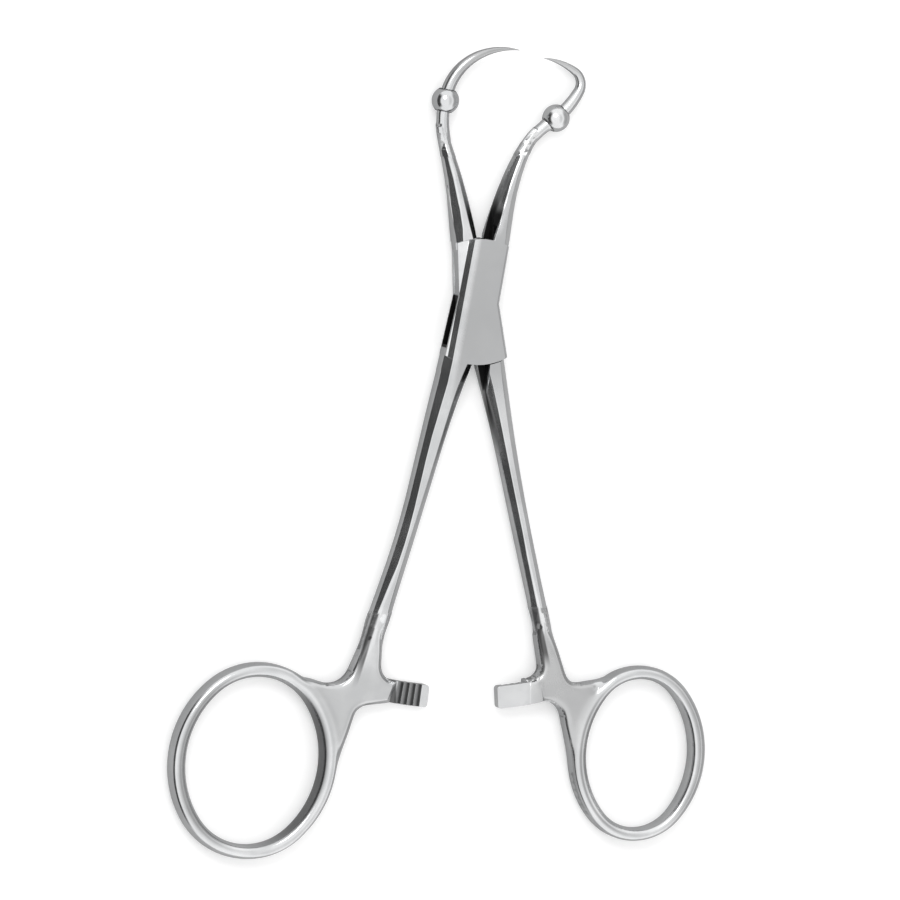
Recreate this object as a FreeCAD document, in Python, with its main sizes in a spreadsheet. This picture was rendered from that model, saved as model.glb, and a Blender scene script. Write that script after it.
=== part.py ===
import FreeCAD, Part
import Sketcher
import math
import os

# Towel clamp with ball stops, box lock and ratchet, in millimetres.
# The clamp lies on its back: +Z is up out of the front face, +Y runs to the jaws, and +Z at the
# origin is the axis of the lock pin. The back face of the box lock is at Z = 0.

doc = FreeCAD.newDocument("towel_clamp")

# Driving dimensions. Each one is a cell of the spreadsheet with the alias given here.
SIZES = {
    # box lock
    "box_thickness": 4.9,
    "box_waist": 6.6,
    "box_waist_height": 0.7,
    "box_top_left": 3.5,
    "box_top_right": 5.0,
    "box_foot_right": 4.7,
    "box_foot_left": 5.6,
    "box_front_bevel": 0.45,
    "box_back_bevel": 0.95,
    "flank_top": -0.9,
    "flank_foot": -5.3,
    "flank_top_height": 9.3,
    "flank_foot_height": -13.0,
    "flank_start": 2.2,
    "flank_bevel": 0.75,
    "flank_slope": 5.0,
    "flank_width": 6.0,
    "wall_end_top": 9.8,
    "wall_end_foot": 10.4,
    "tongue_thickness": 2.3,
    "tongue_width": 6.4,
    "tongue_lean": 0.35,
    "tongue_root": 1.5,
    "tongue_shoulder": 0.7,
    "nose_gap": 0.3,
    "slot_end_top": 8.4,
    "slot_end_foot": 8.8,
    "slot_root_angle": 15.3,
    "passage_angle": 4.0,
    "passage_angle_foot": 4.0,
    "lock_gap": 0.06,
    "swing_gap": 0.12,
    "pin_radius": 1.7,
    "pin_running_gap": 0.03,
    # closing travel of the tongue half, in degrees from the drawn pose
    "close_angle": 13.5,
    "swing_spare": 1.2,
    "relief_reach": 5.0,
    "relief_sweep": 35.0,
    # ball stops and their round seats
    "ball_radius": 2.2,
    "ball_half_length": 1.75,
    "seat_radius": 1.06,
    "stem_overlap": 0.4,
    "tine_overlap": 0.15,
    "left_ball_across": -5.06,
    "left_ball_along": 31.94,
    "left_ball_heading": 12.0,
    "right_ball_across": 13.55,
    "right_ball_along": 28.7,
    "right_ball_heading": 51.5,
    # tines
    "tine_base_radius": 1.03,
    "tine_tip_radius": 0.1,
    "tip_offset": 0.62,
    "tip_rise": 0.65,
    "tine_step": 0.8,
    "left_tine_heading": 16.5,
    "right_tine_heading": 49.0,
    "left_bend_radius": 9.1,
    "left_bend_turn": 52.5,
    "left_end_radius": 11.4,
    "left_end_turn": 33.0,
    "right_root_radius": 14.3,
    "right_root_turn": 17.0,
    "right_bend_radius": 2.4,
    "right_bend_turn": 85.0,
    "right_end_radius": 11.6,
    "right_end_turn": 28.0,
    # rings
    "ring_thickness": 4.2,
    "ring_bevel": 0.75,
    "left_ring_x": -37.5,
    "left_ring_y": -72.9,
    "left_opening_width": 22.4,
    "left_opening_length": 27.0,
    "left_ring_width": 27.8,
    "left_ring_length": 31.7,
    "left_ring_end_radius": 12.7,
    "left_opening_end_radius": 9.84,
    "left_ring_lean": 12.0,
    "left_opening_lean": 8.5,
    "right_ring_x": 27.45,
    "right_ring_y": -74.5,
    "right_opening_width": 17.7,
    "right_opening_length": 24.2,
    "right_ring_width": 23.0,
    "right_ring_length": 28.5,
    "right_ring_end_radius": 9.92,
    "right_opening_end_radius": 7.13,
    "right_ring_lean": 3.5,
    "right_opening_lean": 2.0,
    # webs between shank, ring and ratchet arm
    "web_thickness": 3.7,
    "web_bevel": 0.7,
    # ratchet
    "arm_inner_radius": 62.5,
    "arm_outer_radius": 66.1,
    "arm_thickness": 1.95,
    "left_arm_end": 7.1,
    "left_arm_root": 16.0,
    "right_arm_end": 2.8,
    "right_arm_root": 9.5,
    "tooth_pitch": 1.05,
    "tooth_depth": 0.45,
    "tooth_count": 4,
    "tooth_land": 1.3,
    "arm_gap": 0.12,
    "arm_corner": 0.5,
    # how far cutters stand proud of what they cut, and how far the lock's slot is cut sideways
    "cut_spare": 1.0,
    "slot_reach": 16.0,
    "slot_side": 3.0,
}

# Stations of each limb from the lock outwards: across, along, width, thickness and bevel.
LIMBS = {
    "left_jaw": [
        ("root", -1.85, 8.2, 3.6, 5.1, 1.1),
        ("collar", -2.22, 11.2, 3.5, 5.0, 1.15),
        ("heel", -2.75, 14.4, 3.22, 4.3, 1.15),
        ("middle", -3.62, 18.9, 2.7, 3.5, 1.0),
        ("taper", -4.98, 24.2, 1.95, 2.5, 0.72),
        ("neck", -5.72, 28.3, 1.82, 1.85, 0.53),
    ],
    "right_jaw": [
        ("root", 3.05, 8.2, 3.8, 5.1, 1.2),
        ("collar", 3.76, 11.3, 3.77, 5.0, 1.25),
        ("heel", 4.52, 14.4, 3.45, 4.3, 1.25),
        ("middle", 5.96, 18.9, 2.8, 3.5, 1.05),
        ("taper", 8.1, 23.6, 2.08, 2.5, 0.75),
        ("neck", 10.6, 26.75, 1.82, 1.85, 0.53),
    ],
    "left_shank": [
        ("root", -2.95, -8.6, 5.0, 5.1, 1.2),
        ("collar", -4.28, -12.5, 4.62, 5.0, 1.4),
        ("upper", -6.1, -18.2, 4.1, 4.4, 1.25),
        ("middle", -10.1, -32.0, 3.15, 3.9, 1.15),
        ("lower", -14.3, -44.9, 3.15, 3.8, 1.15),
        ("foot", -18.0, -56.2, 3.7, 3.8, 1.15),
    ],
    "right_shank": [
        ("root", 2.05, -8.9, 4.4, 5.1, 1.1),
        ("collar", 2.76, -12.5, 4.14, 5.0, 1.2),
        ("upper", 3.88, -18.2, 3.72, 4.4, 1.25),
        ("middle", 6.65, -32.3, 2.95, 3.9, 1.1),
        ("lower", 9.45, -45.4, 2.7, 3.8, 1.0),
        ("foot", 12.05, -57.4, 3.3, 3.8, 1.1),
    ],
}
STATION_FIELDS = ("across", "along", "width", "depth", "bevel")

# Corners of each web outline, as across, along and corner radius.
WEBS = {
    "left": [
        ("crown", -16.2, -50.6, 0.0),
        ("shank_out", -18.9, -53.9, 0.0),
        ("ring_top", -22.7, -61.9, 3.6),
        ("ring_inner_top", -28.6, -59.7, 0.0),
        ("ring_inner_foot", -26.0, -76.0, 0.0),
        ("ring_foot", -24.3, -76.5, 0.0),
        ("arm_foot", -20.2, -64.8, 2.4),
        ("arm_end_foot", -14.9, -64.4, 0.0),
        ("arm_end_top", -13.6, -61.2, 0.0),
        ("shank_in", -16.3, -60.2, 2.6),
        ("shank_in_top", -15.9, -53.6, 0.0),
    ],
    "right": [
        ("crown", 10.7, -51.2, 0.0),
        ("shank_out", 13.05, -54.9, 0.0),
        ("ring_top", 15.6, -62.9, 2.4),
        ("ring_inner_top", 20.4, -62.2, 0.0),
        ("ring_inner_foot", 18.2, -77.4, 0.0),
        ("ring_foot", 16.3, -78.0, 0.0),
        ("arm_foot", 14.0, -65.2, 3.3),
        ("arm_end_foot", 8.1, -65.3, 0.0),
        ("arm_end_top", 8.1, -61.7, 0.0),
        ("shank_in", 10.9, -61.0, 1.9),
        ("shank_in_top", 9.95, -54.6, 0.0),
    ],
}


def fill_sheet():
    """Write every driving dimension to its own cell with an alias."""
    cells = dict(SIZES)
    for limb, stations in LIMBS.items():
        for station in stations:
            for field, value in zip(STATION_FIELDS, station[1:]):
                cells["%s_%s_%s" % (limb, station[0], field)] = value
    for side, corners in WEBS.items():
        for corner in corners:
            for field, value in zip(("across", "along", "round"), corner[1:]):
                cells["%s_web_%s_%s" % (side, corner[0], field)] = value
    sheet = doc.addObject("Spreadsheet::Sheet", "sizes")
    for row, (alias, value) in enumerate(cells.items(), start=1):
        sheet.set("A%d" % row, alias.replace("_", " "))
        sheet.set("B%d" % row, str(value))
        sheet.setAlias("B%d" % row, alias)
    doc.recompute()
    return sheet


sheet = fill_sheet()


def size(alias):
    """The value of one cell."""
    return float(getattr(sheet, alias))


MID = size("box_thickness") / 2


def origin_plane(body, role):
    """One of a body's own origin planes or axes."""
    for feature in body.Origin.OriginFeatures:
        if feature.Role == role:
            return feature
    raise ValueError(role)


def new_body(name):
    """An empty body whose label names its file."""
    body = doc.addObject("PartDesign::Body", name)
    body.Label = name
    return body


def flat_sketch(body, name, height_expression="0"):
    """A sketch on the XY plane, lifted to a height that follows the sheet."""
    sketch = body.newObject("Sketcher::SketchObject", name)
    sketch.AttachmentSupport = [(origin_plane(body, "XY_Plane"), "")]
    sketch.MapMode = "FlatFace"
    sketch.setExpression("AttachmentOffset.Base.z", height_expression)
    return sketch


def cross_sketch(body, name, centre, heading, height):
    """A sketch square to a path that leaves (x, y) with a heading measured from +Y towards +X."""
    angle = math.radians(heading)
    forward = FreeCAD.Vector(math.sin(angle), math.cos(angle), 0)
    across = FreeCAD.Vector(-math.cos(angle), math.sin(angle), 0)
    up = FreeCAD.Vector(0, 0, 1)
    sketch = body.newObject("Sketcher::SketchObject", name)
    sketch.AttachmentSupport = [(origin_plane(body, "XY_Plane"), "")]
    sketch.MapMode = "FlatFace"
    turn = FreeCAD.Rotation(across, up, forward, "XYZ")
    sketch.AttachmentOffset = FreeCAD.Placement(FreeCAD.Vector(centre[0], centre[1], height), turn)
    return sketch


def bevelled_section(sketch, prefix):
    """A rectangle with four bevelled corners, symmetric about the sketch origin."""
    half_width = size(prefix + "_width") / 2
    half_depth = size(prefix + "_depth") / 2
    bevel = size(prefix + "_bevel")
    corners = [
        (half_width - bevel, -half_depth), (half_width, bevel - half_depth),
        (half_width, half_depth - bevel), (half_width - bevel, half_depth),
        (bevel - half_width, half_depth), (-half_width, half_depth - bevel),
        (-half_width, bevel - half_depth), (bevel - half_width, -half_depth),
    ]
    count = len(corners)
    for index in range(count):
        start = FreeCAD.Vector(*corners[index], 0)
        end = FreeCAD.Vector(*corners[(index + 1) % count], 0)
        sketch.addGeometry(Part.LineSegment(start, end), False)
    for index in range(count):
        sketch.addConstraint(Sketcher.Constraint("Coincident", index, 2, (index + 1) % count, 1))
    for index in range(count // 2):
        sketch.addConstraint(Sketcher.Constraint("Symmetric", index, 1, index + count // 2, 1, -1, 1))
    sketch.addConstraint(Sketcher.Constraint("Vertical", 1))
    sketch.addConstraint(Sketcher.Constraint("Horizontal", 3))
    sketch.addConstraint(Sketcher.Constraint("Vertical", 0, 1, 3, 1))
    sketch.addConstraint(Sketcher.Constraint("Horizontal", 1, 1, 6, 1))
    datums = (
        ("width", "DistanceX", (5, 1, 2, 1), "sizes.%s_width", 2 * half_width),
        ("depth", "DistanceY", (0, 1, 3, 1), "sizes.%s_depth", 2 * half_depth),
        ("face", "DistanceX", (4, 1, 3, 1), "sizes.%s_width - 2 * sizes.%s_bevel",
         2 * (half_width - bevel)),
        ("side", "DistanceY", (1, 1, 2, 1), "sizes.%s_depth - 2 * sizes.%s_bevel",
         2 * (half_depth - bevel)),
    )
    for name, kind, ends, formula, value in datums:
        number = sketch.addConstraint(Sketcher.Constraint(kind, *ends, value))
        sketch.renameConstraint(number, name)
        sketch.setExpression("Constraints." + name, formula.replace("%s", prefix))


def limb_headings(limb):
    """Headings at a limb's stations, from each station's neighbours."""
    points = [(size("%s_%s_across" % (limb, s[0])), size("%s_%s_along" % (limb, s[0])))
              for s in LIMBS[limb]]
    headings = []
    for index in range(len(points)):
        before = points[max(index - 1, 0)]
        after = points[min(index + 1, len(points) - 1)]
        headings.append(math.degrees(math.atan2(after[0] - before[0], after[1] - before[1])))
    return points, headings


def limb_loft(body, limb, name, seat=None):
    """A bevelled bar lofted through a limb's stations, ending in an optional round seat."""
    points, headings = limb_headings(limb)
    if seat:
        headings[-1] = math.degrees(math.atan2(seat[0] - points[-1][0], seat[1] - points[-1][1]))
        headings[-1] = (headings[-1] + math.degrees(math.atan2(
            points[-1][0] - points[-2][0], points[-1][1] - points[-2][1]))) / 2
    sections = []
    for station, point, heading in zip(LIMBS[limb], points, headings):
        prefix = "%s_%s" % (limb, station[0])
        sketch = cross_sketch(body, prefix + "_section", point, heading, MID)
        sketch.setExpression("AttachmentOffset.Base.x", "sizes.%s_across" % prefix)
        sketch.setExpression("AttachmentOffset.Base.y", "sizes.%s_along" % prefix)
        sketch.setExpression("AttachmentOffset.Base.z", "sizes.box_thickness / 2")
        bevelled_section(sketch, prefix)
        sections.append(sketch)
    loft = body.newObject("PartDesign::AdditiveLoft", name)
    loft.Profile = sections[0]
    loft.Sections = sections[1:]
    loft.Ruled = False
    return points[-1], headings[-1]


def arc_chain(start, heading, arcs, spacing):
    """Evenly spaced points and headings along tangent arcs of (radius, turn), a right turn positive."""
    total = sum(radius * math.radians(abs(turn)) for radius, turn in arcs)
    count = max(4, round(total / spacing))
    stations = []
    for number in range(count + 1):
        left_over = total * number / count
        point, bearing = start, heading
        for radius, turn in arcs:
            run = min(left_over, radius * math.radians(abs(turn)))
            swing = math.copysign(math.degrees(run / radius), turn)
            chord = 2 * radius * math.sin(math.radians(abs(swing)) / 2)
            point = step_on(point, bearing + swing / 2, chord)
            bearing += swing
            left_over -= run
        stations.append((point, bearing))
    return stations


def round_loft(body, name, stations, radii, lifts):
    """A round bar made of short cones between circles on the stations."""
    sections = []
    for index, ((point, heading), radius, lift) in enumerate(zip(stations, radii, lifts)):
        sketch = cross_sketch(body, "%s_section_%d" % (name, index), point, heading, MID + lift)
        sketch.addGeometry(Part.Circle(FreeCAD.Vector(0, 0, 0), FreeCAD.Vector(0, 0, 1), radius), False)
        sections.append(sketch)
    loft = body.newObject("PartDesign::AdditiveLoft", name)
    loft.Profile = sections[0]
    loft.Sections = sections[1:]
    loft.Ruled = True
    return loft


def seat_pose(side):
    """Centre and heading of a ball stop."""
    centre = (size(side + "_ball_across"), size(side + "_ball_along"))
    return centre, size(side + "_ball_heading")


def step_on(point, heading, distance):
    """The point a distance further along a heading."""
    angle = math.radians(heading)
    return (point[0] + distance * math.sin(angle), point[1] + distance * math.cos(angle))


def turned(point, degrees):
    """A point turned about the pin, anticlockwise from the front."""
    angle = math.radians(degrees)
    return (point[0] * math.cos(angle) - point[1] * math.sin(angle),
            point[0] * math.sin(angle) + point[1] * math.cos(angle))


def polar(radius, degrees):
    """A point at a radius from the pin, its angle measured from +Y towards +X."""
    angle = math.radians(degrees)
    return (radius * math.sin(angle), radius * math.cos(angle))


def vector(point):
    """A plane point as a vector."""
    return FreeCAD.Vector(point[0], point[1], 0)


def pad(body, sketch, length_expression, name):
    """A pad upwards from its sketch."""
    feature = body.newObject("PartDesign::Pad", name)
    feature.Profile = sketch
    feature.setExpression("Length", length_expression)
    return feature


def draw(sketch, edges):
    """Add edges to a sketch as they are."""
    for edge in edges:
        sketch.addGeometry(edge, False)


def polygon_edges(points):
    """Straight edges round a closed outline."""
    pairs = zip(points, points[1:] + points[:1])
    return [Part.LineSegment(vector(start), vector(end)) for start, end in pairs]


def rounded_edges(corners):
    """Lines and tangent arcs round a closed outline of (point, radius) corners."""
    count = len(corners)
    trims = []
    for index, (point, radius) in enumerate(corners):
        here = vector(point)
        back = (vector(corners[index - 1][0]) - here).normalize()
        ahead = (vector(corners[(index + 1) % count][0]) - here).normalize()
        if radius > 0:
            half = back.getAngle(ahead) / 2
            reach = radius / math.tan(half)
            bisector = (back + ahead).normalize()
            centre = here + bisector * (radius / math.sin(half))
            trims.append((here + back * reach, centre - bisector * radius, here + ahead * reach))
        else:
            trims.append((here, None, here))
    edges = []
    for index, (entry, middle, leave) in enumerate(trims):
        if middle is not None:
            edges.append(Part.Arc(entry, middle, leave))
        edges.append(Part.LineSegment(leave, trims[(index + 1) % count][0]))
    return edges


def oval_edges(centre, width, length, end_radius, lean):
    """Four tangent arcs: an oval that leans from +Y towards +X."""
    half_width, half_length = width / 2, length / 2
    end_centre = half_length - end_radius
    side_radius = ((half_width ** 2 - end_radius ** 2 + end_centre ** 2)
                   / (2 * (half_width - end_radius)))
    side_centre = side_radius - half_width
    reach = end_radius / (side_radius - end_radius)
    join = (side_centre * reach, end_centre * (1 + reach))

    def place(across, along):
        turned_across, turned_along = turned((across, along), -lean)
        return FreeCAD.Vector(centre[0] + turned_across, centre[1] + turned_along, 0)

    return [
        Part.Arc(place(join[0], join[1]), place(0, half_length), place(-join[0], join[1])),
        Part.Arc(place(-join[0], join[1]), place(-half_width, 0), place(-join[0], -join[1])),
        Part.Arc(place(-join[0], -join[1]), place(0, -half_length), place(join[0], -join[1])),
        Part.Arc(place(join[0], -join[1]), place(half_width, 0), place(join[0], join[1])),
    ]


def bevel_rims(body, solid, name, size_expression, wanted=None):
    """Bevel the edges round the front and back faces: all, or the straight ones that are wanted."""
    doc.recompute()
    bevel = body.newObject("PartDesign::Chamfer", name)
    rims = ["Edge%d" % number for number, edge in enumerate(solid.Shape.Edges, start=1)
            if edge.BoundBox.ZLength < 1e-6
            and (wanted is None or (isinstance(edge.Curve, Part.Line) and wanted(edge)))]
    bevel.Base = (solid, rims)
    bevel.setExpression("Size", size_expression)
    return bevel


def ring_body(side):
    """A finger ring: two leaning ovals, padded, with bevelled edges."""
    body = new_body(side + "_ring")
    sketch = flat_sketch(body, side + "_ring_outline", "(sizes.box_thickness - sizes.ring_thickness) / 2")
    centre = (size(side + "_ring_x"), size(side + "_ring_y"))
    for part in ("ring", "opening"):
        prefix = "%s_%s_" % (side, part)
        draw(sketch, oval_edges(centre, size(prefix + "width"), size(prefix + "length"),
                                size(prefix + "end_radius"), size(prefix + "lean")))
    solid = pad(body, sketch, "sizes.ring_thickness", side + "_ring_pad")
    bevel_rims(body, solid, side + "_ring_bevels", "sizes.ring_bevel")
    return body


def web_body(side):
    """The web that joins shank, ring and ratchet arm, with bevelled edges."""
    body = new_body(side + "_web")
    sketch = flat_sketch(body, side + "_web_outline", "(sizes.box_thickness - sizes.web_thickness) / 2")
    corners = []
    for corner in WEBS[side]:
        prefix = "%s_web_%s_" % (side, corner[0])
        corners.append(((size(prefix + "across"), size(prefix + "along")), size(prefix + "round")))
    draw(sketch, rounded_edges(corners))
    solid = pad(body, sketch, "sizes.web_thickness", side + "_web_pad")
    bevel_rims(body, solid, side + "_web_bevels", "sizes.web_bevel")
    return body


def arm_body(side):
    """A ratchet arm: an arc about the pin with sawteeth on the face that meets the other arm."""
    left = side == "left"
    way = -1 if left else 1
    body = new_body(side + "_arm")
    if left:
        floor = "sizes.box_thickness / 2 - sizes.arm_gap / 2 - sizes.arm_thickness"
        meeting = MID - size("arm_gap") / 2
    else:
        floor = "sizes.box_thickness / 2 + sizes.arm_gap / 2"
        meeting = MID + size("arm_gap") / 2
    inner, outer = size("arm_inner_radius"), size("arm_outer_radius")
    end = 180 - way * size(side + "_arm_end")
    root = 180 - way * size(side + "_arm_root")
    middle = (end + root) / 2
    sketch = flat_sketch(body, side + "_arm_outline", floor)
    draw(sketch, [
        Part.Arc(vector(polar(inner, end)), vector(polar(inner, middle)), vector(polar(inner, root))),
        Part.LineSegment(vector(polar(inner, root)), vector(polar(outer, root))),
        Part.Arc(vector(polar(outer, root)), vector(polar(outer, middle)), vector(polar(outer, end))),
        Part.LineSegment(vector(polar(outer, end)), vector(polar(inner, end))),
    ])
    bar = pad(body, sketch, "sizes.arm_thickness", side + "_arm_pad")
    doc.recompute()
    softened = body.newObject("PartDesign::Fillet", side + "_arm_corners")
    posts = []
    for number, edge in enumerate(bar.Shape.Edges, start=1):
        upright = edge.BoundBox.ZLength > size("arm_thickness") / 2
        near_end = abs(edge.CenterOfMass.x) < abs(polar(outer, end)[0]) + 0.5
        if upright and near_end:
            posts.append("Edge%d" % number)
    softened.Base = (bar, posts)
    softened.setExpression("Radius", "sizes.arm_corner")
    doc.recompute()
    mean = (inner + outer) / 2
    first = math.degrees(size("tooth_land") / mean)
    crest = end - way * first
    notch = cross_sketch(body, side + "_tooth_profile", polar(inner - size("cut_spare"), crest),
                         crest, meeting)
    pitch, depth = size("tooth_pitch"), size("tooth_depth")
    down = -1 if left else 1
    lip = size("arm_gap")
    draw(notch, polygon_edges([
        (0, -down * lip), (0, down * depth), (way * pitch, 0), (way * pitch, -down * lip)]))
    cut = body.newObject("PartDesign::Pocket", side + "_tooth")
    cut.Profile = notch
    cut.Reversed = True
    cut.setExpression("Length", "sizes.arm_outer_radius - sizes.arm_inner_radius + 2 * sizes.cut_spare")
    doc.recompute()
    teeth = body.newObject("PartDesign::PolarPattern", side + "_teeth")
    teeth.Originals = [cut]
    teeth.Axis = (origin_plane(body, "Z_Axis"), [""])
    step = math.degrees(pitch / mean)
    count = int(size("tooth_count"))
    teeth.Reversed = left
    teeth.Angle = step * (count - 1)
    teeth.Occurrences = count
    teeth.Mode = 0
    body.Tip = teeth
    return body


def lock_box_body():
    """The waisted box of the lock, its long edges bevelled and its ends round about the pin."""
    body = new_body("lock_box")
    sketch = flat_sketch(body, "lock_box_outline")
    top, foot = size("wall_end_top"), size("wall_end_foot")
    half = size("box_waist") / 2

    def on_circle(radius, across, side):
        return (across, side * math.sqrt(radius ** 2 - across ** 2))

    top_left = on_circle(top, -size("box_top_left"), 1)
    top_right = on_circle(top, size("box_top_right"), 1)
    foot_right = on_circle(foot, size("box_foot_right"), -1)
    foot_left = on_circle(foot, -size("box_foot_left"), -1)
    waist_left = (-half, size("box_waist_height"))
    waist_right = (half, -size("box_waist_height"))
    draw(sketch, [
        Part.Arc(vector(top_left), vector((0, top)), vector(top_right)),
        Part.LineSegment(vector(top_right), vector(waist_right)),
        Part.LineSegment(vector(waist_right), vector(foot_right)),
        Part.Arc(vector(foot_right), vector((0, -foot)), vector(foot_left)),
        Part.LineSegment(vector(foot_left), vector(waist_left)),
        Part.LineSegment(vector(waist_left), vector(top_left)),
    ])
    block = pad(body, sketch, "sizes.box_thickness", "lock_box_pad")
    right = bevel_rims(body, block, "lock_box_front_bevels", "sizes.box_front_bevel",
                       lambda edge: edge.CenterOfMass.z > MID and edge.CenterOfMass.x > 0)
    bevel_rims(body, right, "lock_box_back_bevels", "sizes.box_back_bevel",
               lambda edge: edge.CenterOfMass.z < MID)
    return body


def flank_body():
    """A cutter for the front left flank of the box: a bevel and then a faint slope to the side."""
    top = (size("flank_top"), size("flank_top_height"))
    foot = (size("flank_foot"), size("flank_foot_height"))
    heading = math.degrees(math.atan2(top[0] - foot[0], top[1] - foot[1]))
    body = new_body("box_flank")
    start = step_on(foot, heading, size("flank_start"))
    sketch = cross_sketch(body, "box_flank_profile", start, heading, size("box_thickness"))
    bevel, wide = size("flank_bevel"), size("flank_width")
    drop = bevel + wide * math.tan(math.radians(size("flank_slope")))
    above = size("cut_spare")
    draw(sketch, polygon_edges([(0, 0), (bevel, -bevel), (wide, -drop), (wide, above), (0, above)]))
    pad(body, sketch, "sqrt((sizes.flank_top - sizes.flank_foot)^2"
        " + (sizes.flank_top_height - sizes.flank_foot_height)^2) - sizes.flank_start + sizes.cut_spare",
        "box_flank_pad")
    return body


def tongue_body():
    """The thin tongue of the lock: a straight strip whose free corners are round about the pin."""
    body = new_body("tongue")
    sketch = flat_sketch(body, "tongue_outline", "(sizes.box_thickness - sizes.tongue_thickness) / 2")
    half, lean, shoulder = size("tongue_width") / 2, size("tongue_lean"), size("tongue_shoulder")
    edges = []
    for side, wall_end, slot_end in ((1, size("wall_end_top"), size("slot_end_top")),
                                     (-1, size("wall_end_foot"), size("slot_end_foot"))):
        nose = slot_end - size("nose_gap")
        reach = wall_end + size("tongue_root")
        outer = (-side * (half + lean), side * reach)
        root = (-side * shoulder, side * reach)
        nose_start = (-side * shoulder, side * math.sqrt(nose ** 2 - shoulder ** 2))
        nose_end = (side * half, side * math.sqrt(nose ** 2 - half ** 2))
        waist = (side * half, -side * half)
        nose_middle = (side * half * 0.5, side * math.sqrt(nose ** 2 - (half * 0.5) ** 2))
        opposite = size("wall_end_foot") if side > 0 else size("wall_end_top")
        next_outer = (side * (half + lean), -side * (opposite + size("tongue_root")))
        edges += [
            Part.LineSegment(vector(outer), vector(root)),
            Part.LineSegment(vector(root), vector(nose_start)),
            Part.Arc(vector(nose_start), vector(nose_middle), vector(nose_end)),
            Part.LineSegment(vector(nose_end), vector(waist)),
            Part.LineSegment(vector(waist), vector(next_outer)),
        ]
    draw(sketch, edges)
    pad(body, sketch, "sizes.tongue_thickness", "tongue_pad")
    return body


def disc_body(name, top_radius, foot_radius, floor_expression, length_expression):
    """A cutter of two half discs about the pin."""
    body = new_body(name)
    sketch = flat_sketch(body, name + "_outline", floor_expression)
    edges = [
        Part.Arc(vector((top_radius, 0)), vector((0, top_radius)), vector((-top_radius, 0))),
        Part.Arc(vector((-foot_radius, 0)), vector((0, -foot_radius)), vector((foot_radius, 0))),
    ]
    if abs(top_radius - foot_radius) > 1e-6:
        edges.append(Part.LineSegment(vector((-top_radius, 0)), vector((-foot_radius, 0))))
        edges.append(Part.LineSegment(vector((foot_radius, 0)), vector((top_radius, 0))))
    draw(sketch, edges)
    pad(body, sketch, length_expression, name + "_pad")
    return body


def slot_body():
    """The cutter of the slot: full reach where the tongue's roots pass, less where its noses turn."""
    turn = size("slot_root_angle")
    arcs = (
        (-90, turn, size("wall_end_top")),
        (turn, 90, size("slot_end_top")),
        (90, 180 + turn, size("wall_end_foot")),
        (180 + turn, 270, size("slot_end_foot")),
    )
    edges = []
    for number, (start, end, radius) in enumerate(arcs):
        middle = (start + end) / 2
        edges.append(Part.Arc(vector(polar(radius, start)), vector(polar(radius, middle)),
                              vector(polar(radius, end))))
        next_start, _, next_radius = arcs[(number + 1) % len(arcs)]
        edges.append(Part.LineSegment(vector(polar(radius, end)), vector(polar(next_radius, next_start))))
    return prism_body("slot_disc", edges, slot_floor, slot_height)


def prism_body(name, edges, floor_expression, length_expression):
    """A cutter padded from an outline."""
    body = new_body(name)
    sketch = flat_sketch(body, name + "_outline", floor_expression)
    draw(sketch, edges)
    pad(body, sketch, length_expression, name + "_pad")
    return body


def inner_edge(limb):
    """Points on the edge of a limb that faces the other member, from the root out."""
    points, headings = limb_headings(limb)
    facing = 1 if limb in ("left_jaw", "left_shank") else -1
    edge = []
    for station, point, heading in list(zip(LIMBS[limb], points, headings))[:4]:
        half = size("%s_%s_width" % (limb, station[0])) / 2 * facing
        angle = math.radians(heading)
        if limb.endswith("shank"):
            half = -half
        edge.append((point[0] + half * math.cos(angle), point[1] - half * math.sin(angle)))
    return edge


def relief_body(name, limb, swing, wall_end, front):
    """A cutter that lets the other member's limb pass: all that its inner edge sweeps on one face."""
    edge = [turned(point, swing) for point in inner_edge(limb)]
    facing = 1 if limb.startswith("left") else -1
    side = 1 if limb.endswith("jaw") else -1
    start = edge[0]
    for before, after in zip(edge, edge[1:]):
        near, far = math.hypot(*before), math.hypot(*after)
        if near <= wall_end < far:
            share = (wall_end - near) / (far - near)
            start = (before[0] + share * (after[0] - before[0]),
                     before[1] + share * (after[1] - before[1]))
    scale = wall_end / math.hypot(*start)
    start = (start[0] * scale, start[1] * scale)
    beyond = [point for point in edge if math.hypot(*point) > wall_end + 0.5]
    back_out = (beyond[-1][0] - facing * size("relief_reach"), beyond[-1][1])
    opposite = -facing * side * size("relief_sweep")
    turn_back = polar(wall_end, (0 if side > 0 else 180) + opposite)
    bearing = (math.degrees(math.atan2(*start)) + (0 if side > 0 else 360)) % 360
    if side > 0 and bearing > 180:
        bearing -= 360
    middle = polar(wall_end, (bearing + (0 if side > 0 else 180) + opposite) / 2)
    path = [start] + beyond + [back_out, turn_back]
    edges = [Part.LineSegment(vector(a), vector(b)) for a, b in zip(path, path[1:])]
    edges.append(Part.Arc(vector(turn_back), vector(middle), vector(start)))
    if front:
        floor = "sizes.box_thickness / 2 - sizes.swing_gap / 2"
    else:
        floor = "-sizes.cut_spare"
    length = "sizes.box_thickness / 2 + sizes.swing_gap / 2 + sizes.cut_spare"
    return prism_body(name, edges, floor, length)


def face_cutters(name):
    """Two cutters that grind the front and back faces flat about the lock."""
    half = size("slot_reach") * 1.3
    corners = [(-half, -half), (half, -half), (half, half), (-half, half)]
    return [
        prism_body(name + "_front_cut", polygon_edges(corners), "sizes.box_thickness", "sizes.cut_spare"),
        prism_body(name + "_back_cut", polygon_edges(corners), "-sizes.cut_spare", "sizes.cut_spare"),
    ]


def pin_bore(name, clearance):
    """A cutter for the pin's bore."""
    bore = doc.addObject("Part::Cylinder", name)
    bore.setExpression("Radius", "sizes.pin_radius + %s" % clearance)
    bore.setExpression("Height", "sizes.box_thickness + 2 * sizes.cut_spare")
    bore.setExpression("Placement.Base.z", "-sizes.cut_spare")
    return bore


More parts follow.
